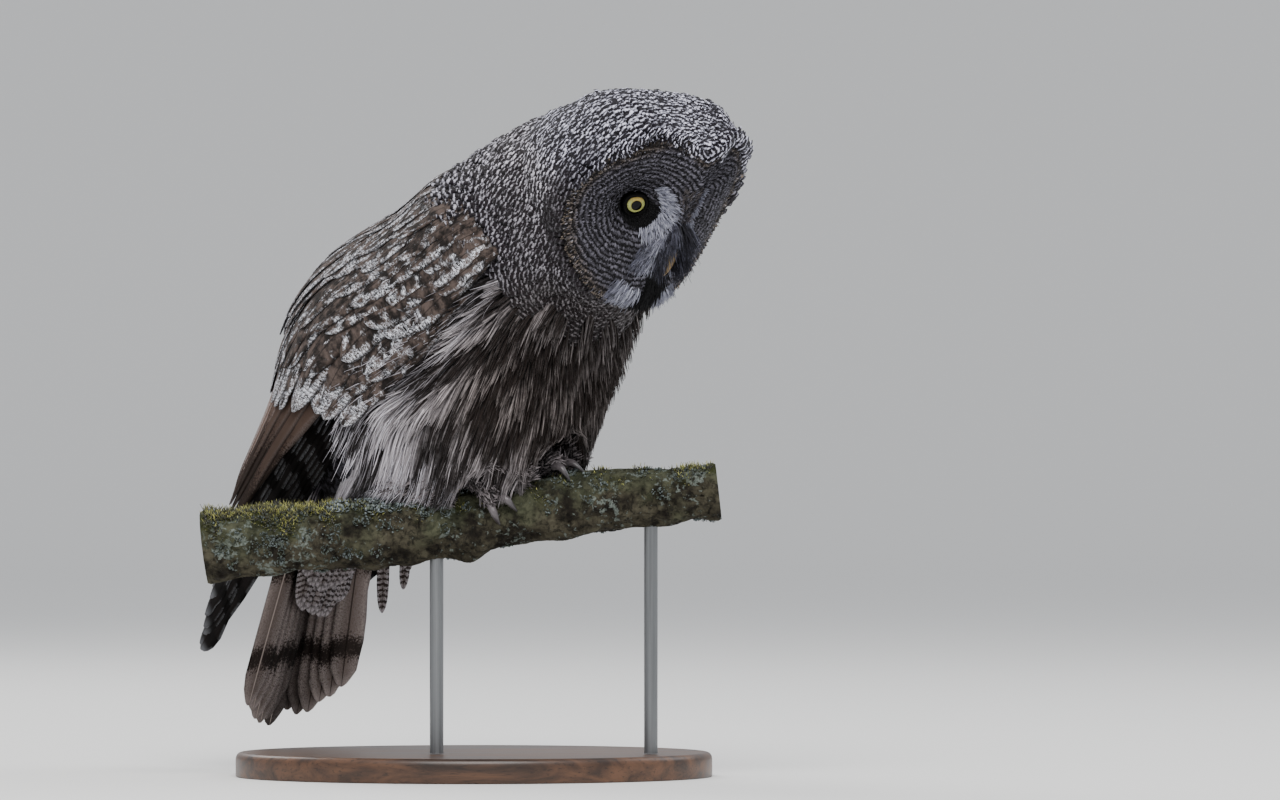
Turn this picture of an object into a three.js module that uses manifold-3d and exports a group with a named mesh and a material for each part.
// A great grey owl, life size, leaning forward on a cut length of branch, which two rods hold
// above a plain oval base. Millimetres, +Z up. The bird faces -Y and its left side is +X.
// The origin is the middle of the base's underside.
import * as THREE from "three";
import { mergeVertices } from "three/addons/utils/BufferGeometryUtils.js";
import Module from "manifold-3d";

const wasm = await Module();
wasm.setup();

const DEG = Math.PI / 180;

// Driving dimensions
const GAP = 0.4; // clear space left between pieces that touch
const PERCH_PLACE = [0, -53, 218]; // top of the branch between the feet, from the base's middle
const BRANCH_TURN = 48 * DEG; // from the bird's left side round towards its front
const BRANCH_RISE = 6.5 * DEG;
const BRANCH = { radius: 22.5, toRear: 240, toFront: 138 };
const BASE = { length: 350, depth: 250, height: 18, bevel: 3 };
const ROD = { radius: 5, places: [-72, 86], sunk: 8 };

// The trunk is a tube through these ovals, from inside the head to the vent. Each has its
// middle, given forward of and above the perch, its half width, and its half depth on the
// back's and on the belly's side.
const TRUNK = [
  { forward: 92, up: 192, width: 74, back: 72, belly: 66 },
  { forward: 44, up: 180, width: 83, back: 87, belly: 86 },
  { forward: -24, up: 140, width: 95, back: 73, belly: 113 },
  { forward: -76, up: 88, width: 103, back: 92, belly: 128 },
  { forward: -110, up: 28, width: 95, back: 86, belly: 110 },
  { forward: -140, up: -18, width: 70, back: 58, belly: 48 },
  { forward: -158, up: -46, width: 30, back: 22, belly: 20 },
];
const TRUNK_SQUARENESS = 2.25;

// The folded wings lie on a tube of their own, which starts as the trunk does and runs on to
// their tips behind the tail.
const WINGS = [
  TRUNK[1],
  TRUNK[2],
  { forward: -90, up: 91, width: 106, back: 90, belly: 125 },
  { forward: -130, up: 26, width: 105, back: 82, belly: 113 },
  { forward: -186, up: -34, width: 84, back: 74, belly: 84 },
  { forward: -244, up: -90, width: 64, back: 56, belly: 60 },
  { forward: -293, up: -136, width: 46, back: 40, belly: 40 },
];

const HEAD = { forward: 105, up: 202, pitch: 33 * DEG, turn: 2 * DEG };
// Sizes in the head's own directions: side, up and forward from its middle.
const SKULL = { back: 80, widest: -10, crown: 73, cheek: 86, chin: 67 };
const DISC = { up: 10, notch: 54, lobe: 75, side: 79, jowl: 74, chin: 64 };
const FACE = { front: 50, sweep: 37, tuck: 5, dish: 6 };
const EYE = { side: 29, up: 13, forward: 27, radius: 9, outward: 27 * DEG, socket: 17 };
const LID = { radius: 8.6, thickness: 1.7 };
const BILL = { root: 3, tip: -33, forward: 50, width: 6.5 };

const TAIL = { forward: -173, up: 92, lean: 15.6 * DEG, length: 280, pairs: 6 };

const left = new THREE.Vector3(1, 0, 0);

// A point given to the bird's right, forward and up from the perch.
function at(right, forward, up) {
  return new THREE.Vector3(-right, -forward, up);
}

// The values of a list of stations at share 0 to 1 of the way along it, on smooth curves.
function between(stations, share) {
  const place = share * (stations.length - 1);
  const first = Math.min(Math.floor(place), stations.length - 2);
  const f = place - first;
  const [a, b, c, d] = [-1, 0, 1, 2].map(
    (step) => stations[THREE.MathUtils.clamp(first + step, 0, stations.length - 1)],
  );
  const values = {};
  for (const key of Object.keys(b)) {
    const slope = c[key] - a[key];
    const bend = 2 * a[key] - 5 * b[key] + 4 * c[key] - d[key];
    const twist = 3 * b[key] - a[key] - 3 * c[key] + d[key];
    values[key] = 0.5 * (2 * b[key] + slope * f + bend * f * f + twist * f * f * f);
  }
  return values;
}

// cos or sin raised towards a rounded square, keeping its sign.
function squared(value, squareness) {
  return Math.sign(value) * Math.abs(value) ** (2 / squareness);
}

// A point on a tube of ovals in the bird's mid-plane. The angle runs from the back's line
// over the right side to the belly's line, and lift is the height above the tube's surface.
function onTube(stations, share, angle, lift = 0) {
  const here = between(stations, share);
  const before = between(stations, Math.max(0, share - 0.01));
  const after = between(stations, Math.min(1, share + 0.01));
  const run = new THREE.Vector2(after.forward - before.forward, after.up - before.up).normalize();
  const backwards = squared(Math.cos(angle), TRUNK_SQUARENESS);
  const sideways = squared(Math.sin(angle), TRUNK_SQUARENESS);
  const depth = (backwards > 0 ? here.back : here.belly) + lift;
  return at(
    sideways * (here.width + lift),
    here.forward + run.y * depth * backwards,
    here.up - run.x * depth * backwards,
  );
}

// A BufferGeometry from points and faces, both as flat lists.
function faces(positions, index) {
  const geometry = new THREE.BufferGeometry();
  geometry.setAttribute("position", new THREE.Float32BufferAttribute(positions, 3));
  geometry.setIndex(index);
  return geometry;
}

// A tube through rings of points, closed by a fan at each end. point(share, angle).
function loft(point, rings, sides, shares = (i) => i / rings) {
  const positions = [];
  const index = [];
  for (let i = 0; i <= rings; i++) {
    for (let j = 0; j < sides; j++) {
      positions.push(...point(shares(i), (2 * Math.PI * j) / sides).toArray());
    }
  }
  const ringAt = (i, j) => i * sides + (j % sides);
  for (let i = 0; i < rings; i++) {
    for (let j = 0; j < sides; j++) {
      index.push(ringAt(i, j), ringAt(i + 1, j), ringAt(i + 1, j + 1));
      index.push(ringAt(i, j), ringAt(i + 1, j + 1), ringAt(i, j + 1));
    }
  }
  for (const i of [0, rings]) {
    const middle = new THREE.Vector3();
    for (let j = 0; j < sides; j++) {
      middle.add(new THREE.Vector3().fromArray(positions, 3 * ringAt(i, j)));
    }
    const hub = positions.length / 3;
    positions.push(...middle.divideScalar(sides).toArray());
    for (let j = 0; j < sides; j++) {
      const pair = [ringAt(i, j), ringAt(i, j + 1)];
      index.push(hub, ...(i === 0 ? pair : pair.reverse()));
    }
  }
  return faces(positions, index);
}

// A thin plate between two like grids of points, split into triangles alike on both faces.
// point(u, v, side) has side 1 on the upper face and -1 on the lower one.
function plate(point, rows, columns) {
  const positions = [];
  const index = [];
  const wide = columns + 1;
  const count = rows.length * wide;
  for (const side of [1, -1]) {
    for (const u of rows) {
      for (let j = 0; j < wide; j++) {
        positions.push(...point(u, (2 * j) / columns - 1, side).toArray());
      }
    }
  }
  const quad = (a, b, c, d) => index.push(a, b, c, a, c, d);
  for (let i = 0; i < rows.length - 1; i++) {
    for (let j = 0; j < columns; j++) {
      const corner = i * wide + j;
      const [a, b, c, d] = [corner, corner + 1, corner + wide + 1, corner + wide];
      quad(a, b, c, d);
      index.push(count + a, count + c, count + b, count + a, count + d, count + c);
    }
    for (const j of [0, columns]) {
      const pair = [i * wide + j, (i + 1) * wide + j];
      const [a, b] = j === 0 ? pair : pair.reverse();
      quad(a, b, count + b, count + a);
    }
  }
  for (const i of [0, rows.length - 1]) {
    for (let j = 0; j < columns; j++) {
      const pair = [i * wide + j, i * wide + j + 1];
      const [b, a] = i === 0 ? pair : pair.reverse();
      quad(a, b, count + b, count + a);
    }
  }
  return faces(positions, index);
}

// A closed geometry as a solid that can be joined and cut, turned right side out.
function solid(geometry) {
  const bare = geometry.clone();
  for (const name of Object.keys(bare.attributes)) {
    if (name !== "position") bare.deleteAttribute(name);
  }
  const merged = mergeVertices(bare, 1e-4);
  const p = merged.attributes.position;
  const corners = [0, 1, 2].map(() => new THREE.Vector3());
  const triangles = [];
  let volume = 0;
  for (let i = 0; i < merged.index.count; i += 3) {
    const triangle = [0, 1, 2].map((k) => merged.index.getX(i + k));
    if (new Set(triangle).size < 3) continue;
    triangles.push(triangle);
    corners.forEach((corner, k) => corner.fromBufferAttribute(p, triangle[k]));
    volume += corners[0].dot(corners[1].clone().cross(corners[2]));
  }
  if (volume < 0) triangles.forEach((triangle) => triangle.reverse());
  return new wasm.Manifold(
    new wasm.Mesh({
      numProp: 3,
      vertProperties: new Float32Array(p.array),
      triVerts: new Uint32Array(triangles.flat()),
    }),
  );
}

function joined(pieces) {
  return pieces.reduce((whole, piece) => whole.add(piece));
}

// The largest closed body of a solid.
function largest(whole) {
  return whole.decompose().reduce((most, body) => (body.volume() > most.volume() ? body : most));
}

// A named mesh from a solid. Sides is 1, or -1 for its mirror image on the bird's left.
function piece(name, whole, material, side = 1) {
  const cut = largest(whole).getMesh();
  const geometry = faces(Array.from(cut.vertProperties), Array.from(cut.triVerts));
  const mesh = new THREE.Mesh(geometry, material);
  mesh.name = name;
  mesh.scale.x = side;
  return mesh;
}

// A round bar along a list of points, thicker or thinner by its list of radii.
function taperedBar(points, radii, rings, sides, grow = 0) {
  const path = new THREE.CatmullRomCurve3(points);
  const sizes = radii.map((radius) => ({ radius }));
  return loft(
    (share, angle) => {
      const middle = path.getPoint(share);
      const run = path.getTangent(share);
      const across = new THREE.Vector3().crossVectors(run, left).normalize();
      if (Math.abs(run.x) > 0.9) across.crossVectors(run, new THREE.Vector3(0, 0, 1)).normalize();
      const over = new THREE.Vector3().crossVectors(across, run);
      const radius = between(sizes, share).radius + grow;
      return middle
        .addScaledVector(across, radius * Math.cos(angle))
        .addScaledVector(over, radius * Math.sin(angle));
    },
    rings,
    sides,
  );
}

const plumage = new THREE.MeshStandardMaterial({ color: 0x6f6a69, roughness: 0.95 });
const wingPlumage = new THREE.MeshStandardMaterial({ color: 0x6a5a52, roughness: 0.9 });
const tailPlumage = new THREE.MeshStandardMaterial({ color: 0x5d5049, roughness: 0.9 });
const footPlumage = new THREE.MeshStandardMaterial({ color: 0x6b574c, roughness: 0.95 });
const horn = new THREE.MeshStandardMaterial({ color: 0x2b2a30, roughness: 0.35 });
const billHorn = new THREE.MeshStandardMaterial({ color: 0xb58a3c, roughness: 0.4 });
const iris = new THREE.MeshStandardMaterial({ color: 0xd0cf4c, roughness: 0.08 });
const bark = new THREE.MeshStandardMaterial({ color: 0x6a6a5b, roughness: 0.95 });
const steel = new THREE.MeshStandardMaterial({ color: 0x55585b, roughness: 0.35, metalness: 1 });
const darkWood = new THREE.MeshStandardMaterial({ color: 0x3a2a20, roughness: 0.45 });

// Trunk and neck
function trunk(grow = 0) {
  return solid(loft((share, angle) => onTube(TRUNK, share, angle, grow), 16, 24));
}

// Head. side, up and forward are along the head's own directions.
function onHead(side, up, forward) {
  const place = new THREE.Vector3(-side, -forward, up);
  place.applyAxisAngle(left, HEAD.pitch);
  place.applyAxisAngle(new THREE.Vector3(0, 0, 1), -HEAD.turn);
  return place.add(at(0, HEAD.forward, HEAD.up));
}

// A radius that passes smoothly through named values at given angles from the side (0) to
// the top (90 degrees) and the bottom (-90 degrees), alike on both sides.
function roundOutline(table, angle) {
  const height = Math.asin(THREE.MathUtils.clamp(Math.sin(angle), -1, 1)) / DEG;
  const above = table.findIndex((row) => row[0] >= height);
  const last = Math.max(1, above < 0 ? table.length - 1 : above);
  const [[lowAngle, low], [highAngle, high]] = [table[last - 1], table[last]];
  const share = THREE.MathUtils.smoothstep(height, lowAngle, highAngle);
  return low + (high - low) * share;
}

function discRadius(angle) {
  const rows = [[-90, DISC.chin], [-54, DISC.jowl], [0, DISC.side], [58, DISC.lobe], [90, DISC.notch]];
  return roundOutline(rows, angle);
}

function skullRadius(angle) {
  return roundOutline([[-90, SKULL.chin], [0, SKULL.cheek], [90, SKULL.crown]], angle);
}

// How far forward the face lies at a place on it: a bowed shield with a socket round each
// eye and a shallow dish between the eye and the rim.
function faceHeight(side, up) {
  const off = Math.abs(side);
  const bow = FACE.sweep * (off / DISC.side) ** 1.7 + FACE.tuck * ((up - DISC.up) / DISC.lobe) ** 4;
  const fromEye = Math.hypot((off - EYE.side) / EYE.socket, (up - EYE.up) / (1.25 * EYE.socket));
  const socket = (FACE.front - FACE.sweep * (EYE.side / DISC.side) ** 1.7 - EYE.forward + 1) *
    Math.exp(-fromEye * fromEye);
  const toRim = Math.hypot(side, up - DISC.up) / discRadius(Math.atan2(up - DISC.up, side));
  const dish = FACE.dish * Math.sin(Math.PI * Math.min(1, toRim)) ** 2 * Math.min(1, off / 30);
  const crescent = 4.5 * Math.exp(-(((off - 12) / 6) ** 2) - ((up - 6) / 24) ** 2);
  const whisker = 5 * Math.exp(-(((off - 14) / 9) ** 2) - ((up + 42) / 11) ** 2);
  return FACE.front - bow - socket - dish + crescent + whisker;
}

// The head as rings: share 0 is the middle of the face, RIM its rim, LIP the crest of the
// feathers that overhang it, and 1 the back of the skull.
const RIM = 0.5;
const LIP = 0.56;
function headPoint(share, angle) {
  const overhang = THREE.MathUtils.smoothstep(Math.sin(angle), -0.9, 0.9);
  const rim = discRadius(angle);
  const toPoint = (radius, forward) =>
    onHead(radius * Math.cos(angle), DISC.up + radius * Math.sin(angle), forward);
  if (share <= RIM) {
    const radius = (rim * share) / RIM;
    return toPoint(
      radius,
      faceHeight(radius * Math.cos(angle), DISC.up + radius * Math.sin(angle)),
    );
  }
  const rimForward = faceHeight(rim * Math.cos(angle), DISC.up + rim * Math.sin(angle));
  const crest = { radius: rim + 3, forward: rimForward + 2 + 7 * overhang };
  if (share <= LIP) {
    const along = (share - RIM) / (LIP - RIM);
    return toPoint(rim + 3 * along, rimForward + (crest.forward - rimForward) * along);
  }
  const full = Math.max(skullRadius(angle), crest.radius + 3);
  const along = (share - LIP) / (1 - LIP);
  const turnAt = 0.42;
  if (along < turnAt) {
    const swing = (0.5 * Math.PI * along) / turnAt;
    return toPoint(
      crest.radius + (full - crest.radius) * Math.sin(swing),
      crest.forward + (SKULL.widest - crest.forward) * (1 - Math.cos(swing)),
    );
  }
  const swing = (0.5 * Math.PI * (along - turnAt)) / (1 - turnAt);
  return toPoint(full * Math.cos(swing), SKULL.widest - (SKULL.back + SKULL.widest) * Math.sin(swing));
}

function eyePlace(side) {
  const out = new THREE.Vector2(Math.sin(EYE.outward), Math.cos(EYE.outward));
  return {
    middle: onHead(
      side * (EYE.side - out.x * EYE.radius),
      EYE.up,
      EYE.forward - out.y * EYE.radius + 1.5,
    ),
    gaze: onHead(side * out.x, 0, out.y).sub(onHead(0, 0, 0)),
  };
}

function ball(middle, radius, wide, high) {
  const geometry = new THREE.SphereGeometry(radius, wide, high);
  return solid(geometry.translate(middle.x, middle.y, middle.z));
}

function lidRing(side) {
  const { middle, gaze } = eyePlace(side);
  const ring = new THREE.TorusGeometry(LID.radius, LID.thickness, 5, 16);
  ring.applyQuaternion(new THREE.Quaternion().setFromUnitVectors(new THREE.Vector3(0, 0, 1), gaze));
  const seat = middle.clone().addScaledVector(gaze, 0.42 * EYE.radius);
  return solid(ring.translate(seat.x, seat.y, seat.z));
}

// The bill's two halves: each a hooked horn that narrows from its root to its tip.
function billHalf(upper, grow = 0) {
  const reach = upper ? 1 : 0.72;
  const root = upper ? 0 : -5;
  const rise = [0, 6, 10, 10, 7].map((v) => (upper ? v : 0.35 * v - 2.5));
  const points = [0, 0.3, 0.6, 0.88, 1].map((along, i) =>
    onHead(
      0,
      THREE.MathUtils.lerp(BILL.root + root, BILL.tip + root, along * reach) - (upper ? 0 : 2),
      BILL.forward - 8 + rise[i],
    ),
  );
  const radii = (upper ? [1.05, 1, 0.78, 0.42, 0.12] : [0.75, 0.7, 0.55, 0.34, 0.12]).map(
    (share) => share * BILL.width,
  );
  return solid(taperedBar(points, radii, 8, 10, grow));
}

// Flesh: trunk and head as one body, parted by thin cuts.
const faceRings = 15;
const headSurface = solid(loft(headPoint, 24, 36, (i) =>
  i <= faceRings ? (RIM * i) / faceRings : LIP + ((1 - LIP) * (i - faceRings - 1)) / (23 - faceRings),
));

// A block that fills everything forward of a slanted plane in the bird's mid-plane.
function beyond(forward, up, slope, clear) {
  const size = 1000;
  const block = new THREE.BoxGeometry(size, size, size).translate(0, -size / 2 - clear, 0);
  block.rotateX(-slope);
  return solid(block.translate(0, -forward, up));
}

const NECK_CUT = { forward: 66, up: 190, slope: 31 * DEG };
const BREAST_CUT = { forward: 8, up: 150, slope: 38 * DEG };
const cutAt = (cut, clear) => beyond(cut.forward, cut.up, cut.slope, clear);

let flesh = trunk().add(headSurface);
for (const side of [1, -1]) {
  flesh = flesh.add(lidRing(side)).subtract(ball(eyePlace(side).middle, EYE.radius + GAP, 16, 10));
}
flesh = flesh.subtract(billHalf(true, GAP)).subtract(billHalf(false, GAP));
const headSolid = flesh.intersect(cutAt(NECK_CUT, GAP / 2));
const neckSolid = flesh.subtract(cutAt(NECK_CUT, -GAP / 2)).intersect(cutAt(BREAST_CUT, GAP / 2));
let torsoSolid = flesh.subtract(cutAt(BREAST_CUT, -GAP / 2));
const trunkGrown = trunk(GAP);

const bird = new THREE.Group();
bird.position.fromArray(PERCH_PLACE);
bird.add(piece("head", headSolid, plumage));
bird.add(piece("neck", neckSolid, plumage));
for (const [name, side] of [["right", 1], ["left", -1]]) {
  bird.add(piece("eye_" + name, ball(eyePlace(side).middle, EYE.radius, 16, 10), iris));
}
bird.add(piece("bill_upper", billHalf(true), billHorn));
bird.add(piece("bill_lower", billHalf(false).subtract(billHalf(true, GAP)), billHorn));

// Wings. Tiers of blades on the wing tube, one above another, each tier's blades shingled by
// a slight slope. Angles are in degrees from the back's line, lifts in millimetres.
const TIER_STEP = 3.2;
const QUILL_TIER = 2.6; // how high the secondaries lie; each tier of coverts is a step higher
const BLADE_ROWS = [0, 0.25, 0.55, 0.8, 0.93, 1];
const COVERT_ROWS = [0, 0.4, 0.75, 0.93, 1];

function bladeShape(along) {
  const swell = Math.min(1, 0.55 + 1.2 * along);
  const tip = along > 0.72 ? Math.sqrt(Math.max(0.04, 1 - ((along - 0.72) / 0.28) ** 2.2)) : 1;
  return swell * tip;
}

function wingBlade({ root, tip, halfWidth, lift, slope, thickness, rows, columns }) {
  const middle = (along, key) => root[key] + (tip[key] - root[key]) * along;
  return solid(
    plate(
      (along, across, side) => {
        const share = middle(along, "share");
        const here = between(WINGS, share);
        const reach = halfWidth * bladeShape(along) * across;
        const rise = lift[0] + (lift[1] - lift[0]) * along + slope * reach;
        const angle = middle(along, "angle") * DEG + reach / (0.5 * (here.width + here.back));
        return onTube(WINGS, share, angle, rise + 0.5 * side * thickness);
      },
      rows,
      columns,
    ),
  );
}

// A tier of blades side by side. Each end is given for the first and the last blade. Stack
// is how much higher each blade lies than the next, at the root and at the tip.
function tier({
  count, root, tip, halfWidth, level, stack = [0, 0], slope = 0.09, rows = BLADE_ROWS, columns = 1,
}) {
  return Array.from({ length: count }, (_, i) => {
    const along = i / (count - 1);
    const mix = (pair) => pair[0] + (pair[1] - pair[0]) * along;
    return wingBlade({
      root: { share: mix(root.share), angle: mix(root.angle) },
      tip: { share: mix(tip.share) + 0.008 * Math.sin(5 * i + count), angle: mix(tip.angle) },
      halfWidth: mix(halfWidth),
      lift: stack.map((step) => level + step * (count - 1 - i)),
      slope,
      thickness: 0.7,
      rows,
      columns,
    });
  });
}

const WING_TIERS = [
  // primaries, the innermost first
  {
    count: 6, root: { share: [0.42, 0.455], angle: [82, 98] }, tip: { share: [0.8, 1], angle: [56, 74] },
    halfWidth: [14, 12], level: -8.6, stack: [1.4, 1.4], slope: 0, columns: 2,
  },
  // secondaries, from the back's side down
  {
    count: 7, root: { share: [0.38, 0.3], angle: [19, 99] }, tip: { share: [0.68, 0.74], angle: [17, 62] },
    halfWidth: [13.5, 10], level: QUILL_TIER, stack: [0, 1.1],
  },
  // greater, median and lesser coverts
  {
    count: 7, root: { share: [0.32, 0.17], angle: [20, 102] }, tip: { share: [0.54, 0.43], angle: [18, 98] },
    halfWidth: [12.5, 12], level: QUILL_TIER + TIER_STEP, rows: COVERT_ROWS,
  },
  {
    count: 6, root: { share: [0.25, 0.1], angle: [24, 101] }, tip: { share: [0.42, 0.32], angle: [22, 100] },
    halfWidth: [13.5, 13], level: QUILL_TIER + 2 * TIER_STEP, rows: COVERT_ROWS,
  },
  {
    count: 5, root: { share: [0.17, 0.04], angle: [46, 99] }, tip: { share: [0.3, 0.2], angle: [44, 98] },
    halfWidth: [12, 11.5], level: QUILL_TIER + 3 * TIER_STEP, rows: COVERT_ROWS,
  },
  // scapulars, along the back
  {
    count: 5, root: { share: [0.175, 0.13], angle: [9, 51] }, tip: { share: [0.43, 0.34], angle: [9, 53] },
    halfWidth: [10, 9.5], level: QUILL_TIER + 3.4 * TIER_STEP, rows: COVERT_ROWS,
  },
];

// The arm and hand under the coverts: thick at the shoulder, thin where the quills leave it.
const ARM = { back: 6, belly: 106, lead: [0.165, 0.03], end: [0.45, 0.5], fall: [42, 35] };
function wingArm() {
  return solid(
    plate(
      (along, across, side) => {
        const down = 0.5 + 0.5 * across;
        const lead = THREE.MathUtils.lerp(...ARM.lead, down);
        const share = THREE.MathUtils.lerp(lead, THREE.MathUtils.lerp(...ARM.end, down), along);
        const ramp = THREE.MathUtils.lerp(...ARM.fall, down) * (share - lead);
        const mantle = 2 * (1 - THREE.MathUtils.smoothstep(down, 0.42, 0.6));
        const nose = Math.min(1, 0.35 + 9 * along);
        const top = QUILL_TIER + 3 * TIER_STEP + 2.4 + mantle * Math.max(0, 1 - 2.5 * along) - ramp;
        const hand = THREE.MathUtils.smoothstep(share, 0.33, 0.42) *
          THREE.MathUtils.smoothstep(down, 0.55, 0.72);
        const bottom = -3 - 7.5 * hand;
        const lift = side > 0 ? Math.max(top * nose, -1) : bottom * Math.min(1, 9 * (1.03 - along));
        const angle = THREE.MathUtils.lerp(ARM.back, ARM.belly, down);
        return onTube(WINGS, share, angle * DEG, lift);
      },
      [0, 0.07, 0.35, 0.65, 0.9, 1],
      7,
    ),
  );
}

const ownSide = solid(new THREE.BoxGeometry(600, 1200, 1200).translate(-300 - GAP / 2, 0, 0));
const wing = joined([wingArm(), ...WING_TIERS.flatMap(tier)]).subtract(trunkGrown).intersect(ownSide);
bird.add(piece("wing_right", wing, wingPlumage));
bird.add(piece("wing_left", wing, wingPlumage, -1));

// Tail. Blades fan from a root inside the coverts; right is to the bird's right, drop is
// along the tail and front is towards its underside.
const tailRun = at(0, -Math.sin(TAIL.lean), -Math.cos(TAIL.lean));
const tailFront = at(0, Math.cos(TAIL.lean), -Math.sin(TAIL.lean));
function onTail(right, drop, front) {
  return at(right, TAIL.forward, TAIL.up)
    .addScaledVector(tailRun, drop)
    .addScaledVector(tailFront, front + 0.0016 * right * right);
}

function tailBlade({ right, drop, halfWidth, layer, slope, rows, columns }) {
  return solid(
    plate(
      (along, across, side) => {
        const reach = halfWidth * bladeShape(along) * across;
        return onTail(
          THREE.MathUtils.lerp(...right, along) + reach,
          THREE.MathUtils.lerp(...drop, along),
          layer + slope * reach + 0.5 * side * 0.9,
        );
      },
      rows,
      columns,
    ),
  );
}

function tail() {
  const blades = [];
  for (let pair = 0; pair < TAIL.pairs; pair++) {
    const out = (pair + 0.5) / TAIL.pairs;
    for (const side of [-1, 1]) {
      const rank = pair < 2 ? 2 * pair + (side > 0 ? 1 : 0) : pair + 2;
      blades.push(
        tailBlade({
          right: [side * (3 + 30 * out), side * (3 + 46 * out) + 5],
          drop: [92, TAIL.length - 24 * out * out - (side > 0 ? 3 : 0)],
          halfWidth: 18,
          layer: 1.35 * rank,
          slope: 0,
          rows: BLADE_ROWS,
          columns: 2,
        }),
      );
    }
  }
  for (const under of [true, false]) {
    for (const place of [-1.5, -0.5, 0.5, 1.5]) {
      const step = 1.5 * (place + 1.5);
      blades.push(
        tailBlade({
          right: [10 * place, 15 * place],
          drop: [92, (under ? 188 : 156) - 10 * Math.abs(place)],
          halfWidth: 15,
          layer: under ? 10.8 + step : -1.6 - step,
          slope: 0,
          rows: COVERT_ROWS,
          columns: 1,
        }),
      );
    }
  }
  const root = new THREE.SphereGeometry(1, 14, 10).scale(56, 17, 62);
  root.rotateX(-TAIL.lean);
  const seat = onTail(0, 86, 6);
  root.translate(seat.x, seat.y, seat.z);
  return joined([solid(root), ...blades]);
}
bird.add(piece("tail", tail().subtract(trunkGrown), tailPlumage));

// Branch. Its line runs past the feet; along is measured from the perch towards the front,
// and the angle from its top round towards the side that the bird looks down on.
const branchRun = new THREE.Vector3(Math.cos(BRANCH_TURN), -Math.sin(BRANCH_TURN), 0)
  .multiplyScalar(Math.cos(BRANCH_RISE))
  .add(new THREE.Vector3(0, 0, Math.sin(BRANCH_RISE)));
const branchNear = new THREE.Vector3(-Math.sin(BRANCH_TURN), -Math.cos(BRANCH_TURN), 0);
const branchTop = new THREE.Vector3().crossVectors(branchNear, branchRun);

function branchRadius(along, angle) {
  const thicker = 0.011 * -along;
  const waves = 1.1 * Math.sin(along / 23) + 0.8 * Math.sin(along / 11 + 2 * angle);
  const knob = 7 * Math.exp(-(((along + 46) / 17) ** 2)) * Math.max(0, -Math.cos(angle)) ** 3;
  return BRANCH.radius + thicker + waves + knob;
}

function onBranch(along, angle, height = 0) {
  const radius = branchRadius(along, angle) + height;
  const sway = 2.2 * Math.sin(along / 48 + 0.6) - 2.2 * Math.sin(0.6);
  return new THREE.Vector3()
    .addScaledVector(branchRun, along)
    .addScaledVector(branchTop, sway - BRANCH.radius + radius * Math.cos(angle))
    .addScaledVector(branchNear, radius * Math.sin(angle));
}

function branch(grow = 0) {
  const span = BRANCH.toRear + BRANCH.toFront + 2 * grow;
  return solid(
    loft((share, angle) => onBranch(span * share - BRANCH.toRear - grow, angle, grow), 24, 12),
  );
}
const branchGrown = branch(GAP);

// Legs, feet and claws. Each foot is placed on the branch by its distance along it and the
// angle round it, and its toes by the ways they point from there: heading is measured from
// along the branch towards round it.
const FEET = [
  { name: "right", along: -37, angle: 13 * DEG, heading: 62 * DEG, hip: at(44, -52, 66) },
  { name: "left", along: 5, angle: -40 * DEG, heading: 46 * DEG, hip: at(-40, -26, 70) },
];
const TOES = [
  { name: "inner", turn: -9, length: 29, claw: 22 },
  { name: "middle", turn: 11, length: 31, claw: 22 },
  { name: "outer", turn: 150, length: 19, claw: 15 },
  { name: "hind", turn: 195, length: 16, claw: 16 },
];

function toePoint(foot, digit, reach, height) {
  const heading = foot.heading + digit.turn * DEG;
  const round = (reach * Math.sin(heading)) / (BRANCH.radius + 6);
  return onBranch(foot.along + reach * Math.cos(heading), foot.angle + round, height);
}

function leg(foot, grow = 0) {
  const ankle = onBranch(foot.along, foot.angle, 13);
  const knee = foot.hip.clone().lerp(ankle, 0.55);
  return solid(taperedBar([foot.hip, knee, ankle], [30, 21, 11], 6, 14, grow));
}

function toe(foot, digit, grow = 0) {
  const points = [0, 0.35, 0.7, 1].map((share, i) =>
    toePoint(foot, digit, share * digit.length, [8, 13, 10, 7][i]),
  );
  return solid(taperedBar(points, [9.5, 9, 7.6, 5.4], 4, 6, grow));
}

function claw(foot, digit, grow = 0) {
  const points = [0.0, 0.35, 0.7, 1].map((share, i) =>
    toePoint(foot, digit, digit.length + GAP + share * digit.claw * 0.8, [6.5, 7.5, 4.5, 0.6][i]),
  );
  return solid(taperedBar(points, [3.2, 2.8, 1.8, 0.35], 4, 6, grow));
}

// The legs stand in the belly's feathers, which part round them and round the toes.
function footRoom(foot) {
  const front = toePoint(foot, TOES[1], 24, 12);
  const rear = toePoint(foot, TOES[3], 11, 9);
  return ball(front, 25, 10, 7).add(ball(rear, 30, 10, 7));
}

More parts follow.
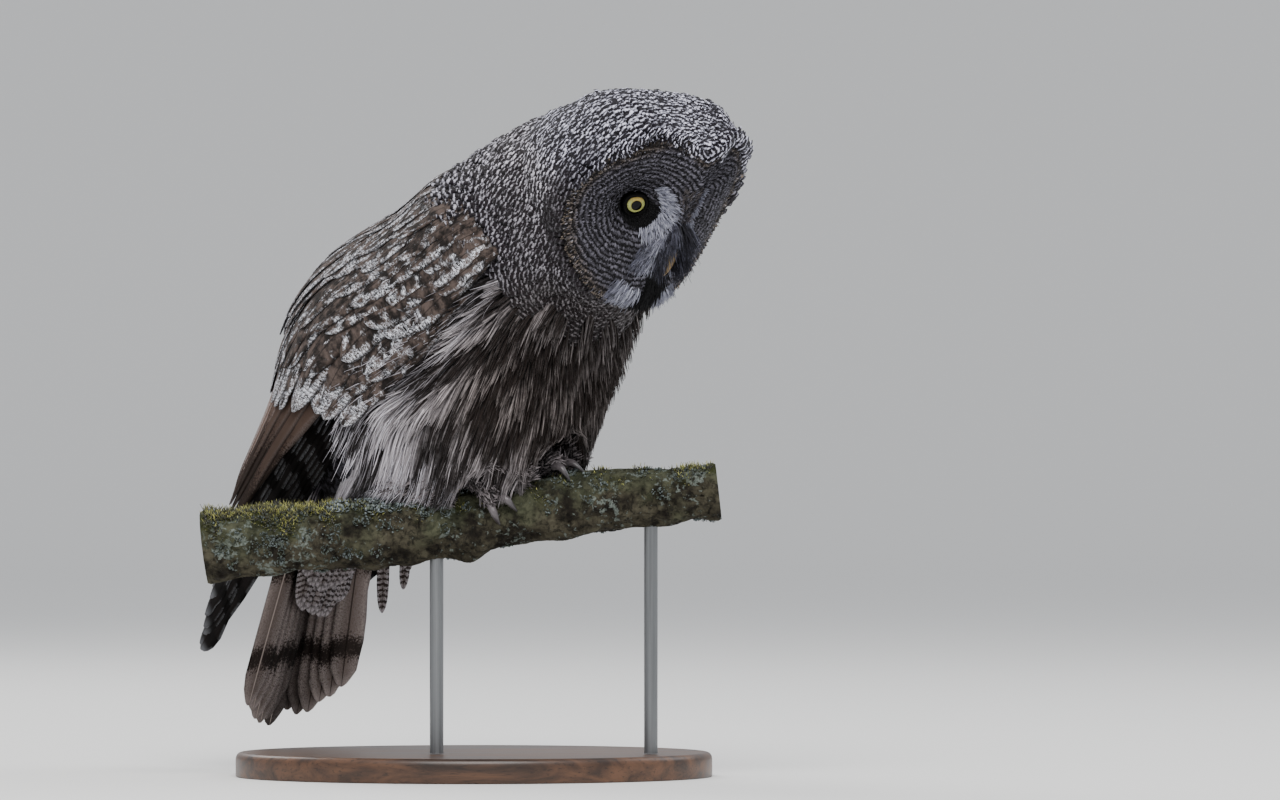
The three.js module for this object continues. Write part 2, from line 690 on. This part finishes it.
for (const foot of FEET) {
  const ankle = onBranch(foot.along, foot.angle, 9);
  const pad = joined([ball(ankle, 12, 10, 6), ...TOES.map((digit) => toe(foot, digit))]);
  torsoSolid = torsoSolid.subtract(leg(foot, GAP)).subtract(footRoom(foot));
  bird.add(piece("leg_" + foot.name, leg(foot).subtract(branchGrown), plumage));
  bird.add(
    piece("foot_" + foot.name, pad.subtract(branchGrown).subtract(leg(foot, GAP)), footPlumage),
  );
  for (const digit of TOES) {
    const free = claw(foot, digit).subtract(branchGrown).subtract(toe(foot, digit, GAP));
    bird.add(piece(`claw_${foot.name}_${digit.name}`, free, horn));
  }
}
bird.add(piece("torso", torsoSolid.subtract(branchGrown), plumage));

// Stand: an oval base square to the branch, and two rods up into the branch's underside.
const owl = new THREE.Group();
owl.add(bird);

const underside = onBranch(0, Math.PI).z;
function rod(along, grow = 0) {
  const foot = onBranch(along, Math.PI).add(bird.position);
  const bottom = BASE.height + GAP - grow;
  const top = underside + bird.position.z + along * Math.tan(BRANCH_RISE) + ROD.sunk + grow;
  const bar = new THREE.CylinderGeometry(ROD.radius + grow, ROD.radius + grow, top - bottom, 24);
  bar.rotateX(Math.PI / 2);
  return solid(bar.translate(foot.x, foot.y, 0.5 * (top + bottom)));
}

let perch = branch();
for (const along of ROD.places) {
  perch = perch.subtract(rod(along, GAP).translate(-bird.position.x, -bird.position.y, -bird.position.z));
}
bird.add(piece("perch_branch", perch, bark));
ROD.places.forEach((along, i) => owl.add(piece(`stand_rod_${i + 1}`, rod(along), steel)));

const outline = new THREE.Shape().absellipse(0, 0, BASE.length / 2 - BASE.bevel, BASE.depth / 2 - BASE.bevel, 0, 2 * Math.PI);
const board = new THREE.ExtrudeGeometry(outline, {
  depth: BASE.height - 2 * BASE.bevel,
  bevelThickness: BASE.bevel,
  bevelSize: BASE.bevel,
  bevelSegments: 1,
  curveSegments: 18,
});
board.translate(0, 0, BASE.bevel).rotateZ(-BRANCH_TURN);
owl.add(piece("stand_base", solid(board), darkWood));

export default owl;
